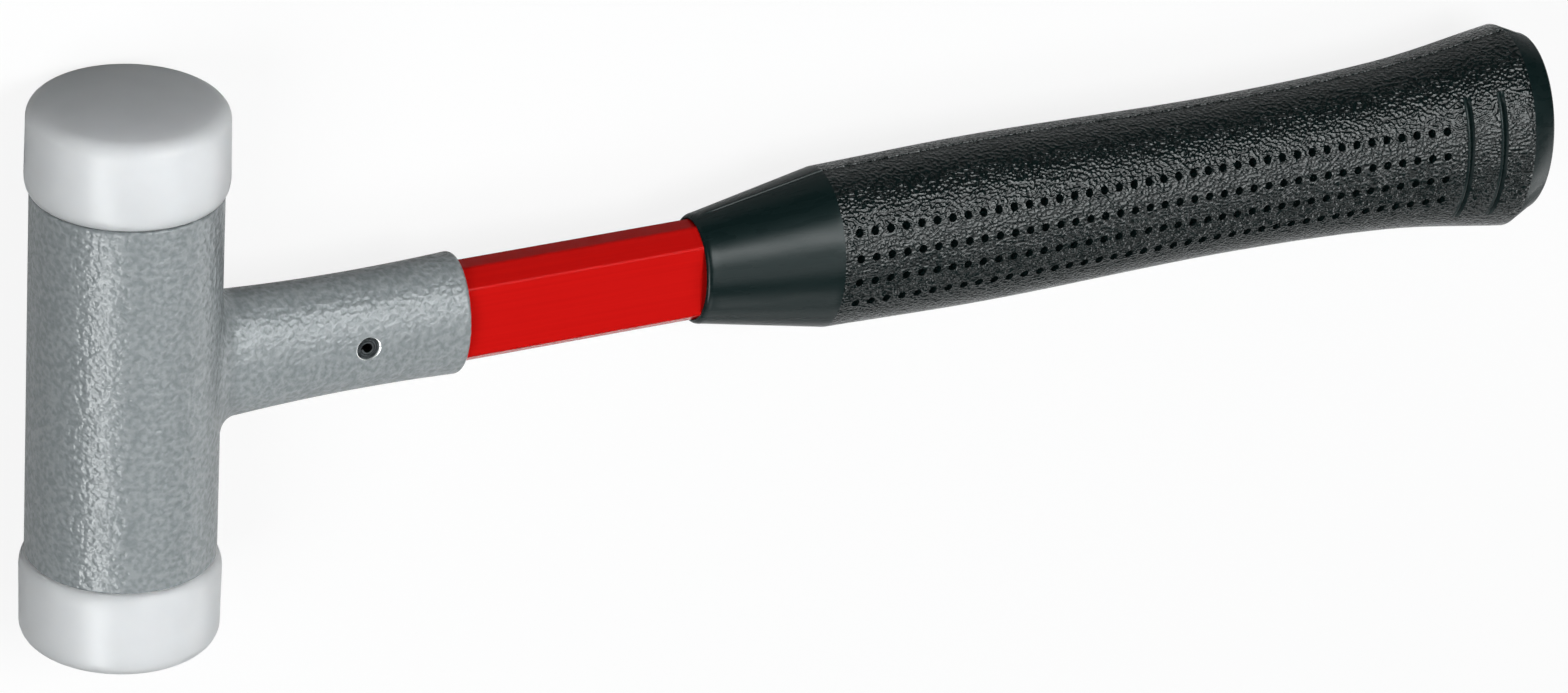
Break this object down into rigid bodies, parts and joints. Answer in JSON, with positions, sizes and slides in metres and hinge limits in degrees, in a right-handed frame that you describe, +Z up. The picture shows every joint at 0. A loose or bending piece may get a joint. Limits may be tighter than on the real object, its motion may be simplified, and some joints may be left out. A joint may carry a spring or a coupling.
{
  "type": "dead blow hammer",
  "caption": "Hand hammer with a hollow painted head holding loose steel shot, pressed-in white nylon faces, a flat red handle bar pinned in an oval neck and a flared black grip.",
  "frame": {"origin": "centre of the bounding box's bottom face, on the surface that the hammer lies on", "axes": "+X along the handle from head to grip end, +Y along the head towards the upper face, +Z up from the surface it lies on"},
  "size_m": [0.295, 0.1028, 0.035],
  "materials": {
    "hammertone_paint": "silver-grey hammertone enamel on a cast steel housing, orange-peel relief",
    "white_nylon": "natural white moulded nylon, satin, slightly translucent",
    "red_glass_fibre": "gloss red resin skin on a glass-fibre bar",
    "black_grip_plastic": "black moulded grip, leather-grained behind a smooth satin collar",
    "black_spring_steel": "oil-black coiled spring steel",
    "shot_steel": "plain steel shot"
  },
  "bodies": {
    "hammer": {"head_housing": "hammertone_paint", "upper_face": "white_nylon", "lower_face": "white_nylon", "handle_core": "red_glass_fibre", "grip": "black_grip_plastic", "spring_pin": "black_spring_steel"},
    "shot_charge": {"shot_01": "shot_steel", "shot_02": "shot_steel", "shot_03": "shot_steel", "shot_04": "shot_steel", "shot_05": "shot_steel", "shot_06": "shot_steel", "shot_07": "shot_steel", "shot_08": "shot_steel", "shot_09": "shot_steel", "shot_10": "shot_steel", "shot_11": "shot_steel", "shot_12": "shot_steel", "shot_13": "shot_steel", "shot_14": "shot_steel", "shot_15": "shot_steel", "shot_16": "shot_steel", "shot_17": "shot_steel", "shot_18": "shot_steel", "shot_19": "shot_steel", "shot_20": "shot_steel", "shot_21": "shot_steel", "shot_22": "shot_steel", "shot_23": "shot_steel", "shot_24": "shot_steel", "shot_25": "shot_steel", "shot_26": "shot_steel", "shot_27": "shot_steel", "shot_28": "shot_steel"}
  },
  "joints": [
    {"name": "shot_slide", "type": "slide", "parent": "hammer", "child": "shot_charge", "axis": [0, 1, 0], "range_m": [-0.0079, 0.0079]}
  ]
}
